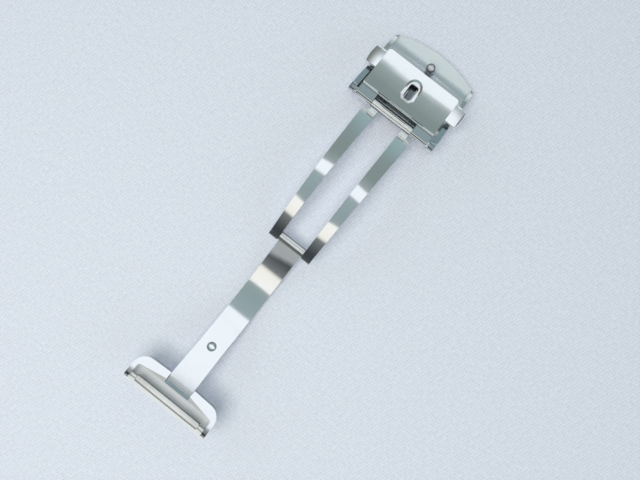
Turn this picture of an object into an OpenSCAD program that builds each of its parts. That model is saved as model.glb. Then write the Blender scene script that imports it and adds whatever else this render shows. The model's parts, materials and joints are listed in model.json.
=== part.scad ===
// Folding clasp for an 18 mm leather watch strap, drawn opened out.
// Three leaves lie along Y: the covered latch, the forked blade and the narrow blade with its strap end.
// X runs across the strap, Z is up and is the side that faces the wrist.
// Every leaf is drawn as it lies when the clasp is shut and is then turned about its hinge.

/* [Strap] */
// Width of the strap that the clasp takes
strap_w = 18; // [14:0.5:22]
// Clearance beside the strap, each side
strap_side_gap = 0.1; // [0.05:0.05:0.3]
// Clear height for the strap between cover and latch housing
strap_space = 2.2; // [1.8:0.1:3]

/* [Cover] */
// Thickness of the cover plate
cover_t = 0.8; // [0.6:0.05:1.2]
// Distance from the main hinge to the middle of the far edge
cover_far = 16.3; // [15.5:0.1:19]
// Where the cover plate starts, measured from the main hinge
cover_near = 0.8; // [0.6:0.1:1.4]
// Radius of the bowed far edge
cover_bow_r = 28; // [18:1:40]
// Radius of the far corners
cover_corner_r = 1.8; // [1:0.1:3]
// Thickness of the side walls behind the push buttons
cover_wall = 0.75; // [0.5:0.05:1]
// Thickness of the side walls at the hinge
cover_ear_t = 1.15; // [0.9:0.05:1.4]
// Radius of the rounded hinge end of the side walls
cover_ear_r = 1.15; // [1:0.05:1.4]
// How far the hinge end's straight front reaches below the pin
cover_ear_drop = 0.6; // [0.3:0.1:1]
// Length over which the side walls narrow from the hinge end
cover_taper_l = 3.6; // [2:0.1:4]
// How far the main hinge pin stands out of each side wall
pin_proud = 0.1; // [0:0.05:0.2]
// Distance from the far edge to the end of the side walls
cover_wall_end = 1.2; // [0.8:0.1:2]
// Height of the side walls above the plate, behind the push buttons
cover_wall_h = 2.7; // [1.5:0.1:3]

/* [Strap peg] */
// Distance from the main hinge to the peg
peg_y = 12.9; // [12:0.1:14]
// Radius of the ball head
peg_ball_r = 0.9; // [0.7:0.05:1]
// Radius of the peg's neck
peg_neck_r = 0.55; // [0.4:0.05:0.65]
// Height of the ball's centre above the plate
peg_h = 2.3; // [1.6:0.1:2.6]
// Depth of the peg's tenon in the plate
peg_tenon = 0.45; // [0.3:0.05:0.5]

/* [Latch housing] */
// Curve radius of the housing roof and of the cover
wrist_r = 40; // [32:1:60]
// Distance from the main hinge to the lowest line of that curve
curve_y = 7.5; // [6.5:0.1:8.5]
// Width at the hinge end
housing_w_near = 17.2; // [17:0.05:17.6]
// Width at the far end
housing_w_far = 16.95; // [16.6:0.05:17.2]
// Distance from the main hinge to the near face
housing_near = 1.4; // [1.3:0.05:1.7]
// Distance from the main hinge to the far face
housing_far = 10; // [9.8:0.1:11]
// Radius of the far corners
housing_corner_r = 0.6; // [0.2:0.1:1]
// Width of the bevel along the near edge of the roof
housing_bevel = 0.4; // [0.2:0.05:0.6]
// Height of the upright face between the hinge ears and that bevel
near_face_h = 0.1; // [0.05:0.05:0.3]
// Height of the roof's lowest line above the main hinge
roof_z = 1.25; // [1.2:0.05:1.5]
// Height of the latch space's ceiling above the main hinge
ceiling_z = 0.55; // [0.5:0.05:0.6]
// Depth of the latch space's floor below the main hinge
floor_z = 1; // [0.95:0.05:1.2]
// Thickness of the base plate
base_t = 0.7; // [0.6:0.05:0.9]
// Thickness of the housing's end walls
end_wall = 0.75; // [0.6:0.05:0.8]
// Thickness of the housing's side walls
side_wall = 0.7; // [0.5:0.05:0.8]
// Length of the latch space and its plates is centred on the window, which lies this far from the main hinge
window_y = 5.65; // [5.5:0.05:5.8]
// Width of the window
window_w = 1.9; // [1.8:0.05:2.2]
// Length of the window
window_l = 3.2; // [3:0.1:3.4]
// Width of the bevel around the window
window_bevel = 0.5; // [0.3:0.05:0.6]
// Width of that bevel at the window's two ends
window_end_bevel = 0.35; // [0.2:0.05:0.5]
// Depth of the bevel around the window
window_bevel_h = 0.3; // [0.15:0.05:0.4]
// Radius of the window's far corners
window_corner_r = 0.5; // [0.3:0.05:0.8]
// Radius of the round relief at the far end of the window
relief_r = 1.75; // [1.6:0.05:2]
// Width of the relief's slope
relief_w = 0.6; // [0.4:0.05:0.8]
// Depth of that relief
relief_h = 0.16; // [0.08:0.02:0.2]

/* [Hinges] */
// Radius of the main hinge pin
main_pin_r = 0.5; // [0.4:0.05:0.55]
// Radius of the fork's rolled tube
main_tube_r = 0.9; // [0.85:0.05:1]
// Width of the notch between the housing ears
notch_w = 9.7; // [9.4:0.1:10.2]
// Clearance between the rolled tube and the housing ears, each side
notch_gap = 0.1; // [0.05:0.05:0.2]
// Radius of the housing ears
ear_r = 0.9; // [0.8:0.05:1.1]
// Radius of the blade hinge pin
blade_pin_r = 0.42; // [0.35:0.01:0.5]
// Radius of the narrow blade's rolled tube
blade_tube_r = 0.9; // [0.8:0.05:1]
// Radius of the fork's tips
tip_r = 0.9; // [0.85:0.05:1.1]
// Radial running clearance of the hinges
run_gap = 0.04; // [0.02:0.01:0.06]
// Width of the seam where a rolled tube closes
seam_w = 0.12; // [0.08:0.02:0.2]

/* [Blades] */
// Distance between the two hinge pins
fork_reach = 32; // [30:0.5:36]
// Height of the blade hinge over the main hinge with the clasp shut
closed_rise = 9.65; // [8:0.05:10.5]
// Curve radius of the forked blade
fork_r = 37; // [32:1:45]
// Curve radius of the narrow blade
blade_r = 30; // [27:1:36]
// Thickness of the forked blade
fork_t = 1; // [0.8:0.05:1.1]
// Bevel of the fork's end over the main hinge
fork_nose = 0.3; // [0.1:0.05:0.5]
// Thickness of the narrow blade
blade_t = 0.9; // [0.7:0.05:1]
// Width of the narrow blade
blade_w = 5.5; // [5:0.1:5.6]
// Width of the narrow blade where it meets the strap end
blade_end_w = 5.8; // [5.6:0.1:6]
// Distance from the strap end's edge to the bend of the narrow blade
foot_start = 0.45; // [0.3:0.05:0.6]
// Length of that bend along the strap
foot_run = 1.2; // [0.9:0.05:1.4]
// Thickness of the foot behind the bend
foot_t = 0.8; // [0.6:0.05:0.9]
// Clearance between the narrow blade and each leg of the fork
leg_gap = 0.25; // [0.2:0.05:0.4]
// Clearance between the narrow blade's tube and each leg of the fork
tube_gap = 0.05; // [0.03:0.01:0.1]
// Width over both legs at the shoulders
fork_w = 12; // [11.6:0.1:13]
// Width over both legs at the tips
fork_tip_w = 10.2; // [9.8:0.1:10.6]
// Radius of the fork's shoulders
shoulder_r = 1.25; // [0.8:0.05:1.25]
// Distance from the main hinge to the shoulders
shoulder_y = 1; // [0.9:0.1:2.4]
// Clearance between the folded blades and the housing roof
roof_gap = 0.15; // [0.1:0.05:0.3]
// How far the narrow blade's middle lies below its hinge axis
blade_drop = 0.35; // [0.25:0.05:0.4]
// Slope of the narrow blade's straight part as the clasp lies open
blade_tilt = 16; // [12:0.5:18]

/* [Catch stud] */
// How far the stud lies from the window's middle towards the hinge
stud_shift = 0.4; // [0:0.05:0.5]
// Radius of the stud's shank
stud_r = 0.6; // [0.5:0.05:0.65]
// Radius of the neck that the jaws close on
stud_neck_r = 0.42; // [0.35:0.01:0.45]
// Radius of the stud's head
stud_head_r = 0.75; // [0.7:0.01:0.8]
// Height of the stud's head
stud_head_h = 0.5; // [0.4:0.05:0.55]
// Radius of the riveted end in the blade
rivet_r = 0.85; // [0.75:0.05:0.95]
// Width of the groove round the riveted end
rivet_groove = 0.1; // [0.06:0.02:0.14]
// Depth of the riveted end
rivet_h = 0.4; // [0.3:0.05:0.5]

/* [Push buttons and latch plates] */
// Width over both push buttons
buttons_w = 22.5; // [21.4:0.1:23]
// Length of a push button along the strap
button_l = 3.7; // [3.2:0.1:3.8]
// Distance from the main hinge to the middle of the push buttons
button_y = 7.3; // [7.2:0.05:7.4]
// Height of a push button
button_h = 2; // [1.7:0.1:2.1]
// Rounding of a push button's outer corners
button_round = 0.6; // [0.2:0.05:0.8]
// Curve radius of a push button's outer face
button_bow_r = 8; // [6:0.5:20]
// How far a push button is pressed in
button_travel = 0.8; // [0.6:0.05:0.85]
// Clearance around a push button
button_gap = 0.1; // [0.05:0.01:0.15]
// Thickness of the latch plates
latch_t = 0.6; // [0.5:0.05:0.7]
// Thickness of the jaws that grip the stud
jaw_t = 0.4; // [0.3:0.05:0.45]
// Clearance between the latch plates and the housing walls
latch_gap = 0.2; // [0.15:0.05:0.25]
// Clearance between a jaw and the stud's neck
jaw_gap = 0.08; // [0.05:0.01:0.12]
// Width of a jaw
jaw_w = 1.2; // [0.9:0.05:1.3]
// How far a jaw reaches past the middle of the stud
jaw_reach = 0.7; // [0.5:0.05:0.9]
// Width of the arm that carries a jaw
arm_w = 1.2; // [1:0.05:1.3]
// Radius of the guide pins
guide_r = 0.4; // [0.3:0.05:0.4]
// Distance from the middle to the guide pins
guide_x = 4.6; // [4.5:0.05:4.8]
// Outer radius of the button springs
button_spring_r = 0.5; // [0.4:0.05:0.55]
// Wire thickness of the button springs
button_spring_wire = 0.2; // [0.15:0.05:0.25]
// Length of a button spring as fitted
button_spring_l = 2.4; // [2.2:0.1:2.5]

/* [Strap end] */
// Distance from the main hinge to the strap end with the clasp shut
tee_setback = 3.3; // [2.7:0.1:4]
// Thickness of the strap end's arms
tee_arm_t = 0.95; // [0.8:0.05:1.2]
// Width of the strap end's rim beside the blade
tee_rim = 1.45; // [1.2:0.05:1.6]
// Extra width of the rim at the corners
tee_rim_extra = 0.95; // [0.4:0.05:1.2]
// How far the shoulders fall back towards the corners
tee_shoulder = 0.2; // [0:0.05:0.4]
// Radius of the outer corners
tee_corner_r = 2.7; // [2:0.1:3]
// Radius of the inner corners
tee_inner_r = 0.6; // [0.3:0.05:0.9]
// Width of the ledge between rim and floor at the corners
tee_ledge = 0.1; // [0.05:0.05:0.4]
// Depth of the ledge below the rim
tee_ledge_h = 1.2; // [0.9:0.1:1.6]
// Depth from the rim to the floor
tee_depth = 2.6; // [2.4:0.1:3]
// Thickness of the floor
tee_floor_t = 0.7; // [0.5:0.05:1]
// How far the floor reaches past the arms
tee_lip = 0.6; // [0.2:0.1:0.8]
// Curve radius of the outer face
tee_face_r = 160; // [120:10:300]

/* [Spring bar] */
// Distance from the strap end's inner edge to the spring bar
bar_y = 4.85; // [4.6:0.05:5.2]
// Depth of the spring bar's axis below the rim
bar_z = 1.05; // [0.95:0.05:1.1]
// Radius of the spring bar's barrel
bar_r = 0.75; // [0.65:0.05:0.8]
// Wall thickness of the barrel
bar_wall = 0.16; // [0.12:0.01:0.2]
// Gap between the barrel and each arm, which the tips bridge
bar_reveal = 1.3; // [1.2:0.05:1.6]
// Radius of a tip's shank
bar_shank_r = 0.4; // [0.35:0.01:0.42]
// Radius of the flange on a tip
bar_flange_r = 0.5; // [0.45:0.01:0.55]
// Thickness of that flange
bar_flange_t = 0.3; // [0.2:0.05:0.35]
// Radius of a tip's pivot
bar_pivot_r = 0.33; // [0.25:0.01:0.35]
// How far a freed tip clears the arm
bar_free = 0.15; // [0.1:0.05:0.25]
// How far a tip is pushed in to free the bar
bar_travel = 0.75; // [0.7:0.05:0.85]
// Clearance of the tips in the barrel
bar_gap = 0.03; // [0.02:0.01:0.05]
// Material over the pivot holes in the arms
bar_hole_end = 0.25; // [0.15:0.05:0.3]
// Length of a tip's plunger in the barrel
plunger_l = 2.2; // [1.8:0.1:2.6]
// Wire thickness of the spring in the barrel
bar_spring_wire = 0.15; // [0.1:0.05:0.2]
// Length of the barrel's crimped ends
crimp_l = 0.5; // [0.3:0.05:0.7]

/* [Hidden] */
$fn = 72;
long_fn = 720;
through = 60;
seam_turn = 50;
left = -1;
right = 1;

// Strap and cover
button_mid_z = (ceiling_z - floor_z) / 2;
strap_clear = strap_w + 2 * strap_side_gap;
cover_in_z = -floor_z - base_t - strap_space;
cover_low_z = cover_in_z - cover_t;
cover_ear_x = strap_clear / 2 + cover_ear_t;
cover_wall_x = strap_clear / 2 + cover_wall;
cover_wall_y = button_y + button_l / 2 + 3 * button_gap;
cut_near_y = button_y - button_l / 2 - 2 * button_gap;
cut_low_z = button_mid_z - button_h / 2 - 3 * button_gap;

// Housing
near_top_z = roof_at(housing_near + housing_bevel);
space_near = housing_near + end_wall;
space_far = housing_far - end_wall;
space_x = housing_w_far / 2 - side_wall;
pocket_h = button_h + 2 * button_gap;
pocket_l = button_l + 2 * button_gap;

// Blades, shut, measured from the main hinge
layer_z = near_top_z + roof_gap;
fork_mid_z = layer_z + fork_t / 2;
blade_mid_z = layer_z + blade_t / 2;
closed_y = sqrt(fork_reach * fork_reach - closed_rise * closed_rise);
closed_angle = asin(closed_rise / fork_reach);
fork_axis_r = fork_r + fork_t / 2 - tip_r;
fork_sweep = acos((fork_mid_z + fork_r - closed_rise) / fork_axis_r);
fork_bend_y = closed_y - fork_axis_r * sin(fork_sweep);
fork_end_turn = fork_sweep + atan(tip_r / fork_axis_r);
leg_in = blade_w / 2 + leg_gap;
neck_out = notch_w / 2 - notch_gap;

// Narrow blade, measured from its own hinge
flat_z = blade_mid_z - closed_rise;
blade_axis_r = blade_r - blade_drop;
blade_bend_y = -sqrt(blade_axis_r * blade_axis_r - (flat_z + blade_r) * (flat_z + blade_r));
blade_top_z = flat_z + blade_t / 2;
catch_y = window_y - stud_shift;
stud_y = catch_y - closed_y;
tee_y = -tee_setback - closed_y;

// Catch and latch, measured from the main hinge
latch_mid_z = button_mid_z;
latch_top_z = latch_mid_z + latch_t / 2;
jaw_low_z = latch_top_z - jaw_t;
latch_out_x = space_x - latch_gap;
latch_in_x = 2 * button_travel + stud_neck_r + jaw_gap + jaw_w + latch_gap;
slot_y = space_near + latch_gap + arm_w / 2;
slot_w = 2 * button_spring_r + latch_gap;

// Strap end, measured from its inner edge at the height of the blade's upper face
tee_in_x = strap_clear / 2;
tee_out_x = tee_in_x + tee_arm_t;
tee_end_y = -bar_y - bar_z;
tee_floor_y = tee_rim + tee_rim_extra + tee_ledge;
tee_low_z = -tee_depth - tee_floor_t;
slot_x = blade_end_w / 2 + strap_side_gap / 2;
foot_top_z = -tee_depth + foot_t;
foot_bend_y = -foot_start - foot_run;
foot_slope = atan2(-foot_top_z, foot_run);
foot_low_y = blade_t * tan(foot_slope / 2) - foot_start;
foot_under = [[blade_t, -blade_t], [foot_low_y, -blade_t],
    [foot_low_y - (tee_depth - blade_t) / tan(foot_slope), -tee_depth]];

// Spring bar
barrel_l = strap_clear - 2 * bar_reveal;
barrel_in_r = bar_r - bar_wall;
plunger_r = barrel_in_r - bar_gap;
bar_pivot_l = bar_travel - bar_free;

// Open pose: the cover and the narrow blade both touch the ground
bend_low_z = -(blade_r + blade_t / 2) + (flat_z + blade_r) * cos(blade_tilt) - blade_bend_y * sin(blade_tilt);
stud_low_z = (jaw_low_z - jaw_gap - stud_head_h - closed_rise) * cos(blade_tilt)
    - (stud_y + stud_head_r / 2) * sin(blade_tilt);
blade_low_z = min(bend_low_z, stud_low_z);
open_drop = -cover_low_z + blade_low_z;
open_angle = 180 + asin(open_drop / fork_reach) - closed_angle;
open_y = -fork_reach * cos(asin(open_drop / fork_reach));
tee_low_end_y = tee_y + tee_end_y - tee_lip;
low_end_y = open_y + tee_low_end_y * cos(blade_tilt) + (blade_top_z + tee_low_z) * sin(blade_tilt);
hinge_y = -(cover_far + low_end_y) / 2;
hinge_z = -cover_low_z;

// Height of the housing roof at a distance from the main hinge
function roof_at(y) = roof_z + wrist_r - sqrt(wrist_r * wrist_r - (y - curve_y) * (y - curve_y));

// The right half of a plan outline, carried round to the left half
function both_sides(side) = concat(side, [for (i = [len(side) - 1:-1:0]) [-side[i][0], side[i][1]]]);

// Points along a round stretch
function arc(cx, cy, r, from, to, steps = 12) =
    [for (i = [0:steps]) let (a = from + (to - from) * i / steps) [cx + r * cos(a), cy + r * sin(a)]];

// Places a leaf that was drawn round the main hinge, or round the blade hinge
module at_main_hinge() translate([0, hinge_y, hinge_z]) children();
module at_fork() at_main_hinge() rotate([open_angle, 0, 0]) children();
module at_blade() at_main_hinge() translate([0, open_y, -open_drop])
    rotate([-blade_tilt, 0, 0]) children();
module at_tee() at_blade() translate([0, tee_y, blade_top_z]) children();

// A round bar along X between two ends
module rod(r, x0, x1, fn = $fn) translate([x0, 0, 0]) rotate([0, 90, 0])
    cylinder(r = r, h = x1 - x0, $fn = fn);

// A side view outline, given as [y, z] points, carried across X
module across(points, x0, x1) translate([x0, 0, 0]) rotate([90, 0, 90])
    linear_extrude(x1 - x0) polygon(points);

// A plan outline, given as [x, y] points, carried up Z
module upright(points, z0 = -through, z1 = through) translate([0, 0, z0])
    linear_extrude(z1 - z0) polygon(points);

// A bent strip between two cylinders about one axis, kept between two angles from straight down
module bent_strip(y, z, r, t, from, to, half_w) {
    reach = 2 * r;
    intersection() {
        translate([0, y, z]) difference() {
            rod(r + t / 2, -half_w, half_w, long_fn);
            rod(r - t / 2, -half_w - 1, half_w + 1, long_fn);
        }
        across([[y, z], [y + reach * sin(from), z - reach * cos(from)],
            [y + reach * sin(to), z - reach * cos(to)]], -half_w, half_w);
    }
}

// Latch housing: roof, walls and the two hinge ears
module housing_outline() {
    near = housing_w_near / 2;
    corner_x = housing_w_far / 2 - housing_corner_r;
    corner_y = housing_far - housing_corner_r;
    upright(both_sides(concat([[near, housing_near]], arc(corner_x, corner_y, housing_corner_r, 0, 90))));
}

module window_cut() {
    cut_z = roof_at(window_y);
    half_w = window_w / 2;
    half_l = window_l / 2;
    grow_w = 2 * window_bevel;
    grow_l = 2 * window_end_bevel;
    translate([0, window_y, 0]) {
        window_prism(half_w, half_l, window_corner_r, ceiling_z - 1, cut_z + 1);
        hull() {
            window_prism(half_w, half_l, window_corner_r, cut_z - window_bevel_h, cut_z);
            window_prism(half_w + grow_w, half_l + grow_l, window_corner_r + grow_l,
                cut_z + window_bevel_h, cut_z + 2 * window_bevel_h);
        }
    }
    translate([0, window_y + half_l - window_corner_r, cut_z - relief_h])
        cylinder(r1 = relief_r - relief_w, r2 = relief_r + relief_w, h = 2 * relief_h);
}

// The window: straight sides, round far corners, clipped near corners
module window_prism(half_w, half_l, corner_r, z0, z1) {
    clip = half_w / 2;
    upright(concat([[-half_w, clip - half_l], [clip - half_w, -half_l], [half_w - clip, -half_l],
        [half_w, clip - half_l]], arc(half_w - corner_r, half_l - corner_r, corner_r, 0, 90, 6),
        arc(corner_r - half_w, half_l - corner_r, corner_r, 90, 180, 6)), z0, z1);
}

module latch_housing() color("silver") at_main_hinge() difference() {
    union() {
        difference() {
            intersection() {
                housing_outline();
                across([[housing_near, -floor_z], [housing_near, ear_r + near_face_h],
                    [housing_near + housing_bevel, near_top_z], [housing_near + housing_bevel, wrist_r],
                    [housing_far, wrist_r], [housing_far, -floor_z]], -through, through);
            }
            translate([0, curve_y, roof_z + wrist_r]) rod(wrist_r, -through, through, long_fn);
        }
        for (side = [left, right]) housing_ear(side);
    }
    latch_space();
    window_cut();
    button_pockets();
    guide_holes();
    rod(main_pin_r, -through, through);
}

module housing_ear(side) {
    x0 = side > 0 ? notch_w / 2 : -housing_w_near / 2;
    x1 = side > 0 ? housing_w_near / 2 : -notch_w / 2;
    rod(ear_r, x0, x1);
    join_y = housing_near + end_wall / 2;
    across([[0, -ear_r], [join_y, -floor_z], [join_y, ear_r], [0, ear_r]], x0, x1);
}

module latch_space() translate([-space_x, space_near, -through])
    cube([2 * space_x, space_far - space_near, through + ceiling_z]);

module button_pockets() for (side = [left, right])
    translate([side * through, button_y, button_mid_z])
        cube([2 * (through - latch_out_x + button_travel + latch_gap), pocket_l, pocket_h], center = true);

module guide_holes() for (side = [left, right])
    translate([side * guide_x, slot_y, -through]) cylinder(r = guide_r, h = through + guide_top_z());

function guide_top_z() = ceiling_z + (roof_z - ceiling_z) / 2;

// Base plate that closes the latch space towards the strap
module housing_base() color("lightgray") at_main_hinge() difference() {
    intersection() {
        housing_outline();
        translate([-through, -through, -floor_z - base_t]) cube([2 * through, 2 * through, base_t]);
    }
    button_pockets();
    guide_holes();
}

// Two pins that rivet the base on, seat the springs and stop the buttons
module guide_pins() color("silver") at_main_hinge() for (side = [left, right])
    translate([side * guide_x, slot_y, -floor_z - base_t])
        cylinder(r = guide_r, h = guide_top_z() + floor_z + base_t);

// One pin through cover, housing and fork
module main_hinge_pin() color("silver") at_main_hinge()
    rod(main_pin_r, -cover_ear_x - pin_proud, cover_ear_x + pin_proud);

// Cover: curved plate, side walls with button gaps, rounded hinge ends
module cover_outline() {
    corner_x = cover_wall_x - cover_corner_r;
    bow_y = cover_far - cover_bow_r;
    inner_r = cover_bow_r - cover_corner_r;
    corner_y = bow_y + sqrt(inner_r * inner_r - corner_x * corner_x);
    turn = atan2(corner_y - bow_y, corner_x);
    right_side = concat([[cover_ear_x, -2 * cover_ear_r]],
        [for (a = [0:10:60]) [cover_wall_x + (cover_ear_x - cover_wall_x) * cos(a),
            cut_near_y + cover_taper_l * (sin(a) - sin(60))]],
        arc(corner_x, corner_y, cover_corner_r, 0, turn), arc(0, bow_y, cover_bow_r, turn, 90, 16));
    upright(both_sides(right_side));
}

module cover_side_view() {
    wall_top = cover_in_z + cover_wall_h;
    end_y = cover_far - cover_wall_end;
    run = end_y - cover_wall_y;
    points = concat([[cover_near, cover_low_z - cover_t], [-cover_ear_r, -cover_ear_drop]],
        arc(0, 0, cover_ear_r, 180, 40),
        [[cut_near_y, cut_low_z + button_h / 2], [cut_near_y, cut_low_z], [cover_wall_y, cut_low_z],
            [cover_wall_y, wall_top]],
        [for (a = [10:10:90]) [cover_wall_y + run * sin(a), cover_in_z + cover_wall_h * cos(a)]],
        [[end_y, cover_low_z - cover_t]]);
    for (side = [left, right])
        across(points, side > 0 ? strap_clear / 2 : -through, side > 0 ? through : -strap_clear / 2);
}

module cover_shell() color("gainsboro") at_main_hinge() difference() {
    intersection() {
        cover_outline();
        translate([0, curve_y, cover_in_z + wrist_r]) rod(wrist_r + cover_t, -through, through, long_fn);
        union() {
            cover_side_view();
            difference() {
                translate([-through, cover_near, cover_low_z - cover_t]) cube(2 * through);
                translate([0, curve_y, cover_in_z + wrist_r]) rod(wrist_r, -through, through, long_fn);
            }
        }
    }
    rod(main_pin_r + run_gap, -through, through);
    at_peg() translate([0, 0, -peg_tenon]) cylinder(r = peg_neck_r, h = peg_tenon + 1);
}

// Places something square to the cover plate at the peg
module at_peg() translate([0, curve_y, cover_in_z + wrist_r])
    rotate([asin((peg_y - curve_y) / wrist_r), 0, 0]) translate([0, 0, -wrist_r]) children();

// Ball headed peg that the strap's hole goes over
module strap_peg() color("silver") at_main_hinge() at_peg() {
    translate([0, 0, -peg_tenon]) cylinder(r = peg_neck_r, h = peg_tenon + peg_h);
    translate([0, 0, peg_h]) sphere(r = peg_ball_r);
}

// Push button: a block with rounded outer corners and a pocket for the latch plate's tongue
module push_button(side) at_main_hinge() mirror([side < 0 ? 1 : 0, 0, 0]) difference() {
    far_x = buttons_w / 2;
    half_l = button_l / 2;
    translate([0, button_y, 0]) intersection() {
        upright(concat([[latch_out_x, half_l], [latch_out_x, -half_l]],
            arc(far_x - button_round, button_round - half_l, button_round, -90, 0, 6),
            arc(far_x - button_round, half_l - button_round, button_round, 0, 90, 6)),
            button_mid_z - button_h / 2, button_mid_z + button_h / 2);
        translate([far_x - button_bow_r, 0, -through])
            cylinder(r = button_bow_r, h = 2 * through, $fn = long_fn);
    }
    latch_tongue();
}

module left_button() color("darkgray") push_button(left);
module right_button() color("whitesmoke") push_button(right);

// The part of a latch plate that sits in its button
module latch_tongue() translate([latch_out_x - latch_gap, button_y - button_l / 4, latch_mid_z - latch_t / 2])
    cube([(buttons_w / 2 - latch_out_x) / 2 + latch_gap, button_l / 2, latch_t]);

// Latch plate: body with a spring slot, an arm past the window and a jaw behind the stud
module latch_plate(side) at_main_hinge() mirror([side < 0 ? 1 : 0, 0, 0]) {
    near_y = space_near + latch_gap;
    far_y = space_far - latch_gap;
    arm_y = side > 0 ? near_y : far_y - arm_w;
    jaw_x = -stud_neck_r - jaw_gap;
    jaw_y0 = side > 0 ? near_y : catch_y - jaw_reach;
    jaw_y1 = side > 0 ? catch_y + jaw_reach : far_y;
    jaw_far_x = jaw_x - jaw_w;
    low_z = latch_mid_z - latch_t / 2;
    difference() {
        union() {
            translate([latch_in_x, near_y, low_z]) cube([latch_out_x - latch_in_x, far_y - near_y, latch_t]);
            translate([jaw_far_x, arm_y, low_z]) cube([latch_in_x - jaw_far_x + arm_w / 2, arm_w, latch_t]);
            translate([jaw_far_x, jaw_y0, jaw_low_z]) cube([jaw_w, jaw_y1 - jaw_y0, jaw_t]);
            latch_tongue();
        }
        translate([guide_x - guide_r, slot_y - slot_w / 2, low_z - 1])
            cube([2 * guide_r + button_spring_l, slot_w, latch_t + 2]);
    }
}

module left_latch_plate() color("gray") latch_plate(left);
module right_latch_plate() color("gray") latch_plate(right);

// Coil spring inside the housing, drawn as its plain sleeve
module button_spring(side) at_main_hinge() mirror([side < 0 ? 1 : 0, 0, 0])
    translate([guide_x + guide_r, slot_y, latch_mid_z]) difference() {
        rod(button_spring_r, 0, button_spring_l);
        rod(button_spring_r - button_spring_wire, -1, button_spring_l + 1);
    }

module left_button_spring() color("dimgray") button_spring(left);
module right_button_spring() color("dimgray") button_spring(right);

// Forked blade: rolled tube, two necks, two curved legs, thickened round the pin at their square tips
module leg_outline() {
    shoulder_x = fork_w / 2 - shoulder_r;
    upright(concat([[leg_in, -main_tube_r], [neck_out, -main_tube_r], [neck_out, shoulder_y]],
        arc(shoulder_x, shoulder_y + shoulder_r, shoulder_r, -90, 0, 10),
        [[fork_tip_w / 2, closed_y], [fork_tip_w / 2, closed_y + 2 * tip_r],
            [leg_in, closed_y + 2 * tip_r]]));
}

module fork_leg() {
    intersection() {
        leg_outline();
        union() {
            across([[-main_tube_r, 0], [-main_tube_r, layer_z], [fork_nose - main_tube_r, layer_z + fork_t],
                [fork_bend_y, layer_z + fork_t], [fork_bend_y, layer_z], [0, layer_z], [0, 0]], 0, fork_w);
            bent_strip(fork_bend_y, fork_mid_z + fork_r, fork_r, fork_t, 0, fork_end_turn, fork_w);
        }
    }
    translate([0, closed_y, closed_rise]) rod(tip_r, leg_in, fork_tip_w / 2);
}

module fork_blade() color("lightsteelblue") at_fork() difference() {
    union() {
        fork_leg();
        mirror([1, 0, 0]) fork_leg();
        rod(main_tube_r, -neck_out, neck_out);
    }
    rod(main_pin_r + run_gap, -through, through);
    translate([0, closed_y, closed_rise]) rod(blade_pin_r, -through, through);
    translate([-leg_in, -seam_w / 2, -2 * main_tube_r]) cube([2 * leg_in, seam_w, 2 * main_tube_r]);
}

// Pin held in the fork's tips
module blade_hinge_pin() color("silver") at_fork() translate([0, closed_y, closed_rise])
    rod(blade_pin_r, -fork_tip_w / 2, fork_tip_w / 2);

// Narrow blade: rolled tube, curved part, straight part and the foot in the strap end
module blade_outline() {
    half = blade_w / 2;
    wide = blade_end_w / 2;
    upright(both_sides([[wide, tee_y - tee_floor_y], [wide, tee_y], [half, stud_y], [half, blade_tube_r]]));
}

module blade_foot() translate([0, tee_y, blade_top_z])
    across(concat([[blade_t, 0], [-foot_start, 0], [foot_bend_y, foot_top_z], [-tee_floor_y, foot_top_z],
        [-tee_floor_y, -tee_depth]], [for (i = [2:-1:0]) foot_under[i]]), -blade_end_w / 2, blade_end_w / 2);

module fold_blade() color("aliceblue") at_blade() difference() {
    union() {
        intersection() {
            blade_outline();
            union() {
                across([[blade_bend_y, blade_top_z - blade_t], [blade_bend_y, blade_top_z],
                    [tee_y, blade_top_z], [tee_y, blade_top_z - blade_t]], -blade_end_w, blade_end_w);
                bent_strip(blade_bend_y, flat_z + blade_r, blade_r, blade_t, 0, blade_sweep(), blade_w);
                blade_foot();
            }
        }
        rod(blade_tube_r, tube_gap - leg_in, leg_in - tube_gap);
    }
    rod(blade_pin_r + run_gap, -through, through);
    rotate([-seam_turn, 0, 0]) translate([-through, -2 * blade_tube_r, -seam_w / 2])
        cube([2 * through, 2 * blade_tube_r, seam_w]);
    translate([0, stud_y, -through]) cylinder(r = stud_r, h = 2 * through);
    translate([0, stud_y, blade_top_z - rivet_h]) cylinder(r = rivet_r + rivet_groove, h = through);
}

// Angle through which the narrow blade bends, from its straight part to its hinge
function blade_sweep() = atan2(-blade_bend_y, flat_z + blade_r);

// Mushroom stud riveted in the narrow blade
module catch_stud() color("silver") at_blade() translate([0, stud_y, -closed_rise]) {
    top_z = blade_mid_z + blade_t / 2;
    neck_top = latch_top_z + jaw_gap;
    neck_low = jaw_low_z - jaw_gap;
    rotate_extrude() polygon([[0, top_z], [rivet_r, top_z], [rivet_r, top_z - rivet_h],
        [stud_r, top_z - rivet_h], [stud_r, neck_top], [stud_neck_r, neck_top], [stud_neck_r, neck_low],
        [stud_head_r, neck_low], [stud_head_r, neck_low - stud_head_h / 3],
        [stud_head_r / 2, neck_low - stud_head_h], [0, neck_low - stud_head_h]]);
}

// Strap end: sunk floor, rim on three sides, two arms that hold the spring bar
module tee_outer() upright(both_sides(concat([[slot_x, 0]],
    arc(tee_out_x - tee_corner_r, -tee_corner_r - tee_shoulder, tee_corner_r, 90, 0),
    [[tee_out_x, tee_end_y - tee_lip]])), tee_low_z, 0);

module tee_inner(middle_y, corner_y, z0) upright(both_sides(concat([[slot_x, -middle_y]],
    arc(tee_in_x - tee_inner_r, -corner_y - tee_inner_r, tee_inner_r, 80, 0, 8),
    [[tee_in_x, -through]])), z0, 1);

// The space above the underside of the narrow blade's foot
module foot_slot() across(concat([[blade_t, 1]], foot_under, [[-through, -tee_depth], [-through, 1]]),
    -slot_x, slot_x);

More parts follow.
